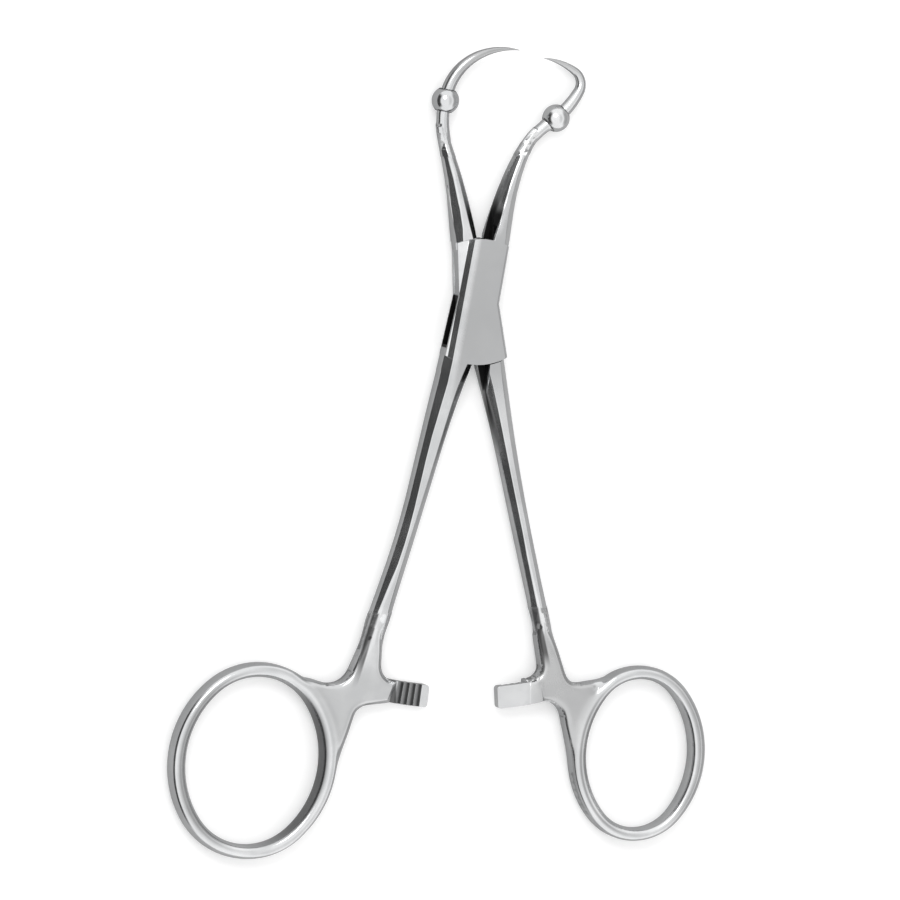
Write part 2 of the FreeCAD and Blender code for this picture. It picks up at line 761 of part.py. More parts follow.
def tine_bodies(side, limb, arcs, lift):
    """The round seat of the ball stop, and the tapering, curved, pointed tine."""
    centre, heading = seat_pose(side)
    half = size("ball_half_length")
    seat = new_body(side + "_seat")
    low, high = step_on(centre, heading, -half), step_on(centre, heading, half)
    radius = size("seat_radius")
    round_loft(seat, side + "_seat_bar", [(low, heading), (high, heading)], [radius, radius], [0, 0])
    stem = new_body(side + "_stem")
    points, headings = limb_headings(limb)
    thin = size(limb + "_neck_width") / 2
    start = step_on(points[-1], headings[-1], -size("stem_overlap"))
    into = step_on(low, heading, size("stem_overlap"))
    bars = [(start, headings[-1]), (into, heading)]
    round_loft(stem, side + "_stem_bar", bars, [thin] * len(bars), [0] * len(bars))
    tine = new_body(side + "_tine")
    stations = arc_chain(step_on(centre, heading, half - size("tine_overlap")),
                         size(side + "_tine_heading"), arcs, size("tine_step"))
    last = len(stations) - 1
    radii, lifts = [], []
    for index in range(last + 1):
        share = index / last
        radii.append(size("tine_tip_radius")
                     + (size("tine_base_radius") - size("tine_tip_radius")) * (1 - share ** 1.7))
        rise = min(share / size("tip_rise"), 1)
        lifts.append(lift * rise * rise * (3 - 2 * rise))
    round_loft(tine, side + "_tine_bar", stations[::-1], radii[::-1], lifts[::-1])
    return stem, seat, tine


def ball_body(side):
    """A ball stop: a bead turned to a slightly flattened ball with a bore for its seat."""
    centre, heading = seat_pose(side)
    name = "stop_ball_" + side
    body = new_body(name)
    sketch = cross_sketch(body, name + "_profile", centre, heading + 90, MID)
    radius, half = size("ball_radius"), size("ball_half_length")
    bore, rim = size("seat_radius"), math.sqrt(radius ** 2 - half ** 2)
    edge_a, edge_b = FreeCAD.Vector(-half, rim, 0), FreeCAD.Vector(half, rim, 0)
    draw(sketch, [
        Part.LineSegment(FreeCAD.Vector(-half, bore, 0), edge_a),
        Part.Arc(edge_a, FreeCAD.Vector(0, radius, 0), edge_b),
        Part.LineSegment(edge_b, FreeCAD.Vector(half, bore, 0)),
        Part.LineSegment(FreeCAD.Vector(half, bore, 0), FreeCAD.Vector(-half, bore, 0)),
    ])
    bead = body.newObject("PartDesign::Revolution", name + "_turned")
    bead.Profile = sketch
    bead.ReferenceAxis = (sketch, ["H_Axis"])
    bead.Angle = 360
    return body


def fused(name, pieces):
    """Several solids as one forging."""
    whole = doc.addObject("Part::MultiFuse", name)
    whole.Shapes = pieces
    whole.Refine = True
    return whole


def cut_from(name, base, tools):
    """A forging with its cutters taken away, under the name of its file."""
    gathered = doc.addObject("Part::MultiFuse", name + "_cutters")
    gathered.Shapes = tools
    result = doc.addObject("Part::Cut", name)
    result.Base = base
    result.Tool = gathered
    result.Refine = True
    result.Label = name
    return result


closing = size("close_angle") + size("swing_spare")
wall_top, wall_foot = size("wall_end_top"), size("wall_end_foot")

right_jaw = new_body("right_jaw")
limb_loft(right_jaw, "right_jaw", "right_jaw_bar", seat_pose("right")[0])
left_shank = new_body("left_shank")
limb_loft(left_shank, "left_shank", "left_shank_bar")
left_jaw = new_body("left_jaw")
limb_loft(left_jaw, "left_jaw", "left_jaw_bar", seat_pose("left")[0])
right_shank = new_body("right_shank")
limb_loft(right_shank, "right_shank", "right_shank_bar")

right_stem, right_seat, right_tine = tine_bodies("right", "right_jaw", [
    (size("right_root_radius"), -size("right_root_turn")),
    (size("right_bend_radius"), -size("right_bend_turn")),
    (size("right_end_radius"), -size("right_end_turn")),
], -size("tip_offset"))
left_stem, left_seat, left_tine = tine_bodies("left", "left_jaw", [
    (size("left_bend_radius"), size("left_bend_turn")),
    (size("left_end_radius"), size("left_end_turn")),
], size("tip_offset"))

slot_floor = "(sizes.box_thickness - sizes.tongue_thickness) / 2 - sizes.lock_gap"
slot_height = "sizes.tongue_thickness + 2 * sizes.lock_gap"
far, near = size("slot_reach"), size("slot_side")
slot_disc = slot_body()
slot_top = prism_body("slot_top", polygon_edges([
    (0, 0), polar(far, size("passage_angle")), (-far, far), (-far, near)]), slot_floor, slot_height)
slot_foot = prism_body("slot_foot", polygon_edges([
    (0, 0), polar(far, 180 + size("passage_angle_foot")), (far, -far), (far, -near)]), slot_floor,
    slot_height)

box_half = cut_from("box_half", fused("box_forging", [
    lock_box_body(), right_jaw, left_shank, right_stem, right_seat, right_tine,
    ring_body("left"), web_body("left"), arm_body("left")]), [
    *face_cutters("box"), slot_disc, slot_top, slot_foot, flank_body(), pin_bore("box_bore", "0"),
    relief_body("right_jaw_relief", "left_jaw", -closing, wall_top, True),
    relief_body("left_shank_relief", "right_shank", -closing, wall_foot, False)])

gap = size("swing_gap")
wall_cut = "(sizes.box_thickness - sizes.tongue_thickness) / 2 + sizes.cut_spare"
back_disc = disc_body("tongue_back_disc", wall_top + gap, wall_foot + gap, "-sizes.cut_spare", wall_cut)
front_disc = disc_body("tongue_front_disc", wall_top + gap, wall_foot + gap,
                       "(sizes.box_thickness + sizes.tongue_thickness) / 2", wall_cut)
tongue_half = cut_from("tongue_half", fused("tongue_forging", [
    tongue_body(), left_jaw, right_shank, left_stem, left_seat, left_tine,
    ring_body("right"), web_body("right"), arm_body("right")]), [
    *face_cutters("tongue"), back_disc, front_disc, pin_bore("tongue_bore", "sizes.pin_running_gap"),
    relief_body("left_jaw_relief", "right_jaw", closing, wall_top, False),
    relief_body("right_shank_relief", "left_shank", closing, wall_foot, True)])

lock_pin = doc.addObject("Part::Cylinder", "lock_pin")
lock_pin.Label = "lock_pin"
lock_pin.setExpression("Radius", "sizes.pin_radius")
lock_pin.setExpression("Height", "sizes.box_thickness")

pieces = [box_half, tongue_half, lock_pin, ball_body("left"), ball_body("right")]
doc.recompute()

for item in doc.Objects:
    if "Invalid" in item.State or "Error" in item.State:
        raise RuntimeError("%s is not made: %s" % (item.Label, item.State))
os.makedirs("parts", exist_ok=True)
for piece in pieces:
    shape = piece.Shape
    if shape.isNull() or not shape.isValid() or len(shape.Solids) != 1:
        raise RuntimeError("%s is not one valid solid" % piece.Label)
    print(piece.Label, "volume", round(shape.Volume, 2))
    shape.exportStep("parts/%s.step" % piece.Label)
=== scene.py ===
"""Dress the towel clamp: two polished steel forgings, two bright beads and a flush pin on a pale floor."""

import logging
import math
from dataclasses import dataclass, field
from enum import Enum
from typing import Any, Callable, Iterable

import bpy
from mathutils import Matrix, Vector
from mathutils.kdtree import KDTree


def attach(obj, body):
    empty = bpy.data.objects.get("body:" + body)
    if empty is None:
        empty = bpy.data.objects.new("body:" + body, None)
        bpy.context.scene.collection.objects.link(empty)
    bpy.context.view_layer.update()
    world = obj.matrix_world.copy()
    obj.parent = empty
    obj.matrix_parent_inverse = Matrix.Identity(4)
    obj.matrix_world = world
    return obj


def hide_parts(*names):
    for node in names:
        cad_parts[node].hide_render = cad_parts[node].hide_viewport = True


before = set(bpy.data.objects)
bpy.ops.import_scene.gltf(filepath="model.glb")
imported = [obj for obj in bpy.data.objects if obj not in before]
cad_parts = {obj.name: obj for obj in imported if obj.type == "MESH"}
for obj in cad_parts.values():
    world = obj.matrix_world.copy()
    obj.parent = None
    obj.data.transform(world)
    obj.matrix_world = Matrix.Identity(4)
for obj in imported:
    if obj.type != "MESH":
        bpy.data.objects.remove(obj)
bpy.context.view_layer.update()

LOG = logging.getLogger("towel_clamp")
MM = 0.001


class Body(Enum):
    """The rigid bodies that pieces ride on."""

    BOX = "box_side"
    TONGUE = "tongue_side"


class Slot(Enum):
    """Material slots of the record."""

    FORGED = "forged_steel"
    PIN = "pin_steel"
    BEAD = "bead_steel"


class Socket:
    """A shader value that can be added, multiplied and compared in plain arithmetic."""

    def __init__(self, tree: bpy.types.NodeTree, output: Any) -> None:
        """Keep the tree and the output that holds the value.

        Args:
            tree: The node tree that the value belongs to.
            output: An output socket of a node in that tree.
        """
        self.tree = tree
        self.output = output

    def _math(self, operation: str, other: Any = 0.5, swap: bool = False) -> "Socket":
        """Combine this value with another one.

        Args:
            operation: Name of the operation of the Math node.
            other: A number or a Socket.
            swap: True puts the other value first.

        Returns:
            The result.
        """
        node = self.tree.nodes.new("ShaderNodeMath")
        node.operation = operation
        for index, value in enumerate((other, self) if swap else (self, other)):
            if isinstance(value, Socket):
                self.tree.links.new(value.output, node.inputs[index])
            else:
                node.inputs[index].default_value = value
        return Socket(self.tree, node.outputs[0])

    def __add__(self, other: Any) -> "Socket":
        """Sum."""
        return self._math("ADD", other)

    def __sub__(self, other: Any) -> "Socket":
        """Difference."""
        return self._math("SUBTRACT", other)

    def __rsub__(self, other: Any) -> "Socket":
        """Difference from a number."""
        return self._math("SUBTRACT", other, swap=True)

    def __mul__(self, other: Any) -> "Socket":
        """Product."""
        return self._math("MULTIPLY", other)

    __radd__ = __add__
    __rmul__ = __mul__

    def ramp(self, low: float, high: float) -> "Socket":
        """Rise smoothly from 0 at low to 1 at high.

        Args:
            low: Value where the ramp starts.
            high: Value where the ramp ends; it may be the smaller one.

        Returns:
            A value from 0 to 1.
        """
        node = self.tree.nodes.new("ShaderNodeMapRange")
        node.interpolation_type = "SMOOTHSTEP"
        self.tree.links.new(self.output, node.inputs["Value"])
        flip = low > high
        node.inputs["From Min"].default_value = high if flip else low
        node.inputs["From Max"].default_value = low if flip else high
        node.inputs["To Min"].default_value = 1.0 if flip else 0.0
        node.inputs["To Max"].default_value = 0.0 if flip else 1.0
        return Socket(self.tree, node.outputs["Result"])


class Graph:
    """A node tree under construction."""

    def __init__(self, tree: bpy.types.NodeTree) -> None:
        """Empty the tree.

        Args:
            tree: The node tree of a material or of the world.
        """
        self.tree = tree
        tree.nodes.clear()

    def node(self, kind: str, inputs: dict[str, Any] | None = None, output: str | int = 0,
             **settings: Any) -> Socket:
        """Add one node.

        Args:
            kind: Type name of the node.
            inputs: Values or Sockets by the input's name.
            output: The output to return.
            **settings: Properties of the node.

        Returns:
            The chosen output.
        """
        made = self.tree.nodes.new(kind)
        for name, value in settings.items():
            setattr(made, name, value)
        for name, value in (inputs or {}).items():
            if isinstance(value, Socket):
                self.tree.links.new(value.output, made.inputs[name])
            else:
                made.inputs[name].default_value = value
        return Socket(self.tree, made.outputs[output]) if made.outputs else Socket(self.tree, made)

    def mix(self, share: Socket, low: Any, high: Any) -> Socket:
        """Blend two colours.

        Args:
            share: How much of the second colour shows.
            low: First colour.
            high: Second colour.

        Returns:
            The blended colour.
        """
        made = self.tree.nodes.new("ShaderNodeMix")
        made.data_type = "RGBA"
        for name, value in (("Factor", share), ("A", low), ("B", high)):
            socket = next(s for s in made.inputs
                          if s.name == name and s.type == ("VALUE" if name == "Factor" else "RGBA"))
            if isinstance(value, Socket):
                self.tree.links.new(value.output, socket)
            else:
                socket.default_value = value
        return Socket(self.tree, next(s for s in made.outputs if s.type == "RGBA"))

    def position(self) -> tuple[Socket, Socket, Socket, Socket]:
        """Object coordinates, whole and as x, y and z in metres."""
        whole = self.node("ShaderNodeTexCoord", output="Object")
        split = self.tree.nodes.new("ShaderNodeSeparateXYZ")
        self.tree.links.new(whole.output, split.inputs[0])
        return (whole, *(Socket(self.tree, split.outputs[i]) for i in range(3)))


def grey(value: float, cool: float = 0.0) -> tuple[float, float, float, float]:
    """A grey with a trace of blue.

    Args:
        value: Lightness from 0 to 1.
        cool: How much bluer than neutral.

    Returns:
        A colour with alpha.
    """
    return (value * (1 - cool), value, value * (1 + cool), 1.0)


Span = tuple[float, float, float, float]


@dataclass(frozen=True)
class Shade:
    """A place painted dark: painted shade in a recess or on a face turned from the light, or a painted dark
    reflection band; it is also made rougher.

    Each span holds four places in millimetres: where the shade starts, is full, is full still, and ends.
    """

    across: Span
    along: Span
    height: Span
    lean: float = 0.0
    colour: float = 0.02
    amount: float = 1.0
    rough: float = 0.3

    def mask(self, across: Socket, along: Socket, height: Socket) -> Socket:
        """How dark a point is.

        Args:
            across: Object coordinate x.
            along: Object coordinate y.
            height: Object coordinate z.

        Returns:
            A value from 0 to 1.
        """
        share: Any = self.amount
        for value, span in ((across - along * self.lean, self.across), (along, self.along),
                            (height, self.height)):
            start, full, last, end = (place * MM for place in span)
            share = value.ramp(start, full) * value.ramp(end, last) * share
        return share


@dataclass(frozen=True)
class RingShade:
    """A crescent along the band of a finger ring, where the band turns away from the light."""

    centre: tuple[float, float]
    half_width: float
    half_length: float
    lean: float
    span: Span
    side: float
    colour: float = 0.08
    amount: float = 0.7
    rough: float = 0.1

    def mask(self, across: Socket, along: Socket, height: Socket) -> Socket:
        """How dark a point is.

        Args:
            across: Object coordinate x.
            along: Object coordinate y.
            height: Object coordinate z.

        Returns:
            A value from 0 to 1.
        """
        lean, side = math.radians(self.lean), math.radians(self.side)
        right, ahead = across - self.centre[0] * MM, along - self.centre[1] * MM
        wide = (right * math.cos(lean) - ahead * math.sin(lean)) * (1 / (self.half_width * MM))
        long = (right * math.sin(lean) + ahead * math.cos(lean)) * (1 / (self.half_length * MM))
        reach = (wide * wide + long * long)._math("SQRT")
        start, full, last, end = self.span
        band = reach.ramp(start, full) * reach.ramp(end, last)
        distance = (right * right + ahead * ahead)._math("SQRT")
        facing = (right * math.cos(side) + ahead * math.sin(side))._math("DIVIDE", distance)
        return band * facing.ramp(0.1, 0.75) * height.ramp(0.3 * MM, 1.0 * MM) * self.amount


def painted_tooth_shade(across: Socket, along: Socket, height: Socket) -> Socket:
    """Painted shade on the toothed face of the left ratchet arm: each ramp darkens towards its crest.

    Args:
        across: Object coordinate x.
        along: Object coordinate y.
        height: Object coordinate z.

    Returns:
        A value from 0 to 1.
    """
    reach = (across * -1.0)._math("ARCTAN2", along * -1.0) * (64.3 * MM)
    count = (reach - 9.27 * MM) * (1 / (1.05 * MM))
    ramp = 1.0 - count._math("FRACT")
    teeth = reach.ramp(9.2 * MM, 9.3 * MM) * reach.ramp(13.5 * MM, 13.4 * MM)
    face = height.ramp(2.45 * MM, 2.40 * MM) * height.ramp(1.8 * MM, 1.85 * MM)
    return teeth * face * (ramp.ramp(0.1, 0.9) * 0.55 + 0.35) * along.ramp(-58.0 * MM, -60.0 * MM)


@dataclass(frozen=True)
class SteelFinish:
    """Polished stainless steel with a fine lengthwise grain, and painted shade where shades are given."""

    name: str
    light: float = 0.76
    dark: float = 0.66
    roughness: float = 0.15
    roughness_swing: float = 0.05
    grain: float = 9000.0
    grain_stretch: float = 0.06
    bump: float = 0.05
    satin_and_painted_shade: bool = False
    # Turns on the lock front's satin roughness with its painted darker colour, and the painted shade on the ratchet
    # teeth.
    shades: tuple[Any, ...] = ()

    def build(self) -> bpy.types.Material:
        """Make the material.

        Returns:
            The finished material.
        """
        material = bpy.data.materials.new(self.name)
        material.use_nodes = True
        graph = Graph(material.node_tree)
        whole, across, along, height = graph.position()
        lengthwise = graph.node("ShaderNodeMapping", {
            "Vector": whole, "Scale": (1.0, self.grain_stretch, 1.0)})
        grain = graph.node("ShaderNodeTexNoise", {
            "Vector": lengthwise, "Scale": self.grain, "Detail": 3.0, "Roughness": 0.6}, "Fac")
        cloud = graph.node("ShaderNodeTexNoise", {
            "Vector": whole, "Scale": 160.0, "Detail": 4.0, "Roughness": 0.55}, "Fac")
        wear = cloud.ramp(0.35, 0.7)
        colour = graph.mix(wear, grey(self.dark, 0.012), grey(self.light, 0.008))
        rough = self.roughness + wear * self.roughness_swing + (grain - 0.5) * 0.08
        if self.satin_and_painted_shade:
            # Partly painted shade: the lock's front face is coloured darker grey, and it also gets a rougher satin
            # finish.
            reach = along._math("ABSOLUTE")
            level = height + reach.ramp(10.0 * MM, 21.0 * MM) * (0.75 * MM)
            face = level.ramp(4.80 * MM, 4.88 * MM) * reach.ramp(22.0 * MM, 8.0 * MM)
            face = face * (across - along * 0.19).ramp(-2.3 * MM, -1.3 * MM)
            jaw = along.ramp(9.5 * MM, 12.5 * MM) * (across - along * 0.286).ramp(0.9 * MM, 0.1 * MM)
            face = face * (1.0 - jaw)
            colour = graph.mix(face * 0.85, colour, grey(0.42, 0.01))
            rough = rough + face * 0.16
            # Painted shade on the toothed face of the left ratchet arm, with some added roughness.
            tooth = painted_tooth_shade(across, along, height)
            colour = graph.mix(tooth, colour, grey(0.05))
            rough = rough + tooth * 0.2
        # Painted shade from the listed shades: darker colour in recesses, on faces turned from the light and along
        # dark reflection bands, with some added roughness.
        for shade in self.shades:
            mask = shade.mask(across, along, height)
            colour = graph.mix(mask, colour, grey(shade.colour))
            rough = rough + mask * shade.rough
        bump = graph.node("ShaderNodeBump", {
            "Strength": self.bump, "Distance": 0.02 * MM, "Height": grain}, "Normal")
        shader = graph.node("ShaderNodeBsdfPrincipled", {
            "Base Color": colour, "Metallic": 1.0, "Roughness": rough, "Normal": bump}, "BSDF")
        graph.node("ShaderNodeOutputMaterial", {"Surface": shader})
        return material


@dataclass(frozen=True)
class FloorFinish:
    """Pale floor that the camera sees as white, with the shadow kept. In reflections it shows a painted darker grey
    instead, near black far to the left, which darkens the steel's side walls.
    """

    name: str = "pale_floor"
    colour: float = 0.86
    painted_reflection_near: float = 0.42
    painted_reflection_far: float = 0.04
    lift: float = 0.22

    def build(self) -> bpy.types.Material:
        """Make the material.

        Returns:
            The finished material.
        """
        material = bpy.data.materials.new(self.name)
        material.use_nodes = True
        graph = Graph(material.node_tree)
        seen = graph.node("ShaderNodeLightPath", output="Is Camera Ray")
        mirrored = graph.node("ShaderNodeLightPath", output="Is Glossy Ray")
        _, across, _, _ = graph.position()
        # Painted reflection: the floor's colour seen in the steel, darker than the floor is, and darkest far to the
        # left.
        painted_reflection = graph.mix(across.ramp(-0.05, -0.35), grey(self.painted_reflection_near), grey(self.painted_reflection_far))
        base = graph.node("ShaderNodeBsdfPrincipled", {
            "Base Color": graph.mix(mirrored, grey(self.colour), painted_reflection),
            "Roughness": 0.85,
            "Emission Color": graph.mix(seen, grey(0.0), grey(self.lift)),
            "Emission Strength": 1.0}, "BSDF")
        graph.node("ShaderNodeOutputMaterial", {"Surface": base})
        return material


def only(piece: bpy.types.Object) -> None:
    """Select one object alone and make it active."""
    bpy.ops.object.select_all(action="DESELECT")
    piece.select_set(True)
    bpy.context.view_layer.objects.active = piece


def edit(piece: bpy.types.Object, work: Callable[[], None]) -> None:
    """Run edit-mode work on a piece.

    Args:
        piece: The mesh object.
        work: What to do in edit mode, with the whole mesh selected.
    """
    only(piece)
    bpy.ops.object.mode_set(mode="EDIT")
    bpy.ops.mesh.select_all(action="SELECT")
    work()
    bpy.ops.object.mode_set(mode="OBJECT")


def apply_modifier(piece: bpy.types.Object, kind: str, **settings: Any) -> None:
    """Add a modifier and apply it at once.

    Args:
        piece: The mesh object.
        kind: Type name of the modifier.
        **settings: Properties of the modifier.
    """
    only(piece)
    modifier = piece.modifiers.new(kind.lower(), kind)
    for name, value in settings.items():
        setattr(modifier, name, value)
    bpy.ops.object.modifier_apply(modifier=modifier.name)


def copy_of_node(node: str, name: str) -> bpy.types.Object:
    """A merged copy of a CAD node's mesh.

    Args:
        node: Name of the CAD node.
        name: Name of the copy.

    Returns:
        The copy.
    """
    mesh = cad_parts[node].data.copy()
    mesh.name = name
    mesh.materials.clear()
    piece = bpy.data.objects.new(name, mesh)
    bpy.context.scene.collection.objects.link(piece)
    edit(piece, lambda: bpy.ops.mesh.remove_doubles(threshold=0.002 * MM))
    return piece


def keep_side(piece: bpy.types.Object, axis: str, place: float, upper: bool) -> None:
    """Cut a piece square to an axis, keep one side and close the cut.

    Args:
        piece: The mesh object.
        axis: "x" or "y".
        place: Where the cut lies on the axis, in metres.
        upper: True keeps the side with the larger values.
    """
    normal = (1.0, 0.0, 0.0) if axis == "x" else (0.0, 1.0, 0.0)
    point = tuple(part * place for part in normal)
    edit(piece, lambda: bpy.ops.mesh.bisect(
        plane_co=point, plane_no=normal, use_fill=True, clear_inner=upper, clear_outer=not upper))


def smooth_rise(value: float, low: float, high: float) -> float:
    """0 at low, 1 at high and smooth between, for either order of low and high."""
    share = min(max((value - low) / (high - low), 0.0), 1.0)
    return share * share * (3 - 2 * share)


@dataclass(frozen=True)
class Cut:
    """One square cut of a copy, and how far a smooth zone reaches past it into its neighbour."""

    axis: str
    place: float
    upper: bool
    overlap: float = 0.5 * MM

    def inside(self, point: Vector) -> float:
        """How far a point lies on the kept side."""
        distance = getattr(point, self.axis) - self.place
        return distance if self.upper else -distance


def merge(parts: list[bpy.types.Object]) -> bpy.types.Object:
    """Join mesh objects into the first one."""
    bpy.ops.object.select_all(action="DESELECT")
    for part in parts:
        part.select_set(True)
    bpy.context.view_layer.objects.active = parts[0]
    bpy.ops.object.join()
    return parts[0]


@dataclass(frozen=True)
class Oval:
    """A leaning oval of four tangent arcs, as wide, long and tight at its ends as stated."""

    width: float
    length: float
    end_radius: float
    lean: float

    def point(self, turn: float) -> Vector:
        """The point of the oval in one direction from its centre.

        Args:
            turn: Direction in radians, anticlockwise from +X.

        Returns:
            The point, relative to the centre.
        """
        half_width, end_centre = self.width / 2, self.length / 2 - self.end_radius
        side_radius = ((half_width ** 2 - self.end_radius ** 2 + end_centre ** 2)
                       / (2 * (half_width - self.end_radius)))
        side_centre = side_radius - half_width
        way = turn + math.radians(self.lean)
        across, along = abs(math.cos(way)), abs(math.sin(way))
        if across * end_centre * side_radius > along * side_centre * (side_radius - self.end_radius) \
                and across * end_centre > 0:
            reach = (-across * side_centre
                     + math.sqrt((across * side_centre) ** 2 - side_centre ** 2 + side_radius ** 2))
            if along * reach > end_centre + self.end_radius * end_centre / (side_radius - self.end_radius):
                reach = self._end_reach(along, end_centre)
        else:
            reach = self._end_reach(along, end_centre)
        return Vector((math.cos(turn) * reach, math.sin(turn) * reach, 0.0))

    def _end_reach(self, along: float, end_centre: float) -> float:
        """Distance to the tight arc in a direction whose lengthwise part is given."""
        return (along * end_centre
                + math.sqrt((along * end_centre) ** 2 - end_centre ** 2 + self.end_radius ** 2))


@dataclass(frozen=True)
class RingForm:
    """A finger ring: a band between two ovals with a full round section."""

    centre: tuple[float, float]
    outer: Oval
    inner: Oval
    trim: float
    web_turn: float
    height: float = 4.2 * MM
    middle: float = 2.45 * MM
    far_power: float = 2.3
    near_power: float = 4.6
    steps: int = 200
    section_steps: int = 28

    def core(self) -> bpy.types.Object:
        """A block that fills the opening up to the middle line of the band."""
        bpy.ops.object.select_all(action="DESELECT")
        bpy.ops.mesh.primitive_cylinder_add(vertices=120, radius=self.outer.width / 2, depth=3 * self.height)
        block = bpy.context.active_object
        for vertex in block.data.vertices:
            turn = math.atan2(vertex.co.y, vertex.co.x)
            place = (self.inner.point(turn) + self.outer.point(turn)) / 2
            vertex.co = (self.centre[0] + place.x, self.centre[1] + place.y, self.middle + vertex.co.z)
        return block

    def seam(self) -> list[tuple[float, float]]:
        """Points along the outer wall of the band, where it runs into its forging."""
        wall = [self.outer.point(math.tau * step / self.steps) for step in range(self.steps)]
        wall = [(self.centre[0] + place.x, self.centre[1] + place.y) for place in wall]
        return [place for place in wall if (place[0] > self.trim) == (self.trim < 0)]

    def build(self) -> bpy.types.Object:
        """Shape the band from a torus.

        Returns:
            The ring.
        """
        bpy.ops.object.select_all(action="DESELECT")
        bpy.ops.mesh.primitive_torus_add(
            major_segments=self.steps, minor_segments=self.section_steps,
            major_radius=self.outer.width / 2, minor_radius=self.height / 4)
        ring = bpy.context.active_object
        for vertex in ring.data.vertices:
            spot = vertex.co
            turn = math.atan2(spot.y, spot.x)
            out = math.hypot(spot.x, spot.y) - self.outer.width / 2
            nearness = smooth_rise(math.cos(turn - self.web_turn), -0.25, 0.5) if out > 0 else 0.0
            power = 2 / (self.far_power + (self.near_power - self.far_power) * nearness)
            slope = math.atan2(spot.z, out)
            sideways = math.copysign(abs(math.cos(slope)) ** power, math.cos(slope))
            upwards = math.copysign(abs(math.sin(slope)) ** power, math.sin(slope))
            inner, outer = self.inner.point(turn), self.outer.point(turn)
            place = (inner + outer) / 2 + (outer - inner) / 2 * sideways
            vertex.co = (self.centre[0] + place.x, self.centre[1] + place.y,
                         self.middle + self.height / 2 * upwards)
        return ring


@dataclass(frozen=True)
class Sleeve:
    """A round bar along a bent line, that carries a jaw's neck on into its bead."""

    start: tuple[float, float]
    bend: tuple[float, float]
    end: tuple[float, float]
    joint: tuple[float, float]
    radius: float = 0.98 * MM
    middle: float = 2.45 * MM

    def build(self) -> bpy.types.Object:
        """Draw the bar as a curve and turn it into a mesh.

        Returns:
            The bar.
        """
        curve = bpy.data.curves.new("sleeve", "CURVE")
        curve.dimensions = "3D"
        curve.bevel_depth, curve.bevel_resolution = self.radius, 6
        curve.use_fill_caps = True
        spline = curve.splines.new("POLY")
        spline.points.add(16)
        for number, point in enumerate(spline.points):
            share = number / 16
            weights = ((1 - share) ** 2, 2 * share * (1 - share), share ** 2)
            across, along = (sum(weight * spot[axis] for weight, spot in
                                 zip(weights, (self.start, self.bend, self.end))) for axis in (0, 1))
            point.co = (across, along, self.middle, 1.0)
        bar = bpy.data.objects.new("sleeve", curve)
        bpy.context.scene.collection.objects.link(bar)
        only(bar)
        bpy.ops.object.convert(target="MESH")
        return bpy.context.active_object


@dataclass(frozen=True)
class SoftZone:
    """A part of a forging that was ground and polished by hand, so that its forms run together.

    The zone reaches a little way into its crisp neighbours and is sunk there by a hair.
    """

    name: str
    cuts: tuple[Cut, ...]
    voxel: float
    passes: int
    ring: "RingForm | None" = None
    sleeve: "Sleeve | None" = None
    fade: float = 7.0 * MM
    swell: float = 0.0
    spots: tuple[tuple[float, float], ...] = ()
    spot_radius: float = 1.8 * MM
    spot_passes: int = 120
    sink: float = 0.05 * MM

    def build(self, node: str) -> bpy.types.Object:
        """Make the zone from a copy of a node.

        Args:
            node: Name of the CAD node.

        Returns:
            The smooth mesh object.
        """
        piece = copy_of_node(node, self.name)
        for cut in self.cuts:
            reach = -cut.overlap if cut.upper else cut.overlap
            keep_side(piece, cut.axis, cut.place + reach, cut.upper)
        only(piece)
        bpy.ops.object.duplicate()
        guide = bpy.context.active_object
        spots = KDTree(len(self.spots) + 1)
        for index, spot in enumerate(self.spots):
            spots.insert((*spot, 0.0), index)
        spots.insert((1.0, 1.0, 0.0), len(self.spots))
        spots.balance()
        seam = KDTree(1)
        if self.ring:
            wall = self.ring.seam()
            seam = KDTree(len(wall))
            for index, place in enumerate(wall):
                seam.insert((*place, 0.0), index)
            seam.balance()
            keep_side(piece, "x", self.ring.trim, self.ring.trim < 0)
            core = self.ring.core()
            apply_modifier(piece, "BOOLEAN", operation="DIFFERENCE", solver="EXACT", object=core)
            bpy.data.objects.remove(core)
            merge([piece, self.ring.build()])
        if self.sleeve:
            merge([piece, self.sleeve.build()])
        only(piece)
        piece.data.remesh_voxel_size = self.voxel
        bpy.ops.object.voxel_remesh()
        soft = piece.vertex_groups.new(name="soft")
        spotted = piece.vertex_groups.new(name="spotted")
        held = piece.vertex_groups.new(name="held")
        hidden = piece.vertex_groups.new(name="hidden")
        for vertex in piece.data.vertices:
            softness, depth = 1.0, 0.0
            for cut in self.cuts:
                if not cut.overlap:
                    continue
                inside = cut.inside(vertex.co)
                softness = min(softness, 0.03 + 0.97 * smooth_rise(inside, 0.0, self.fade))
                depth = max(depth, smooth_rise(inside, 0.02 * MM, -0.2 * MM))
            place = (vertex.co.x, vertex.co.y, 0.0)
            effect = smooth_rise(spots.find(place)[2], self.spot_radius, 0.0)
            if self.ring:
                level = smooth_rise(abs(vertex.co.z - self.ring.middle), 2.0 * MM, 1.4 * MM)
                effect = max(effect, level * smooth_rise(seam.find(place)[2], 2.0 * MM, 0.8 * MM))
            soft.add([vertex.index], softness, "REPLACE")
            held.add([vertex.index], smooth_rise(softness, 0.8, 0.3), "REPLACE")
            spotted.add([vertex.index], effect, "REPLACE")
            hidden.add([vertex.index], depth, "REPLACE")
        apply_modifier(piece, "SHRINKWRAP", target=guide, wrap_method="NEAREST_SURFACEPOINT",
                       vertex_group="held")
        bpy.data.objects.remove(guide)
        if self.swell:
            apply_modifier(piece, "DISPLACE", strength=self.swell, mid_level=0.0, vertex_group="soft")
        if self.spots:
            apply_modifier(piece, "SMOOTH", factor=0.5, iterations=self.spot_passes, vertex_group="spotted")
        apply_modifier(piece, "SMOOTH", factor=0.5, iterations=self.passes, vertex_group="soft")
        apply_modifier(piece, "DISPLACE", strength=-self.sink, mid_level=0.0, vertex_group="hidden")
        only(piece)
        bpy.ops.object.shade_smooth()
        return piece


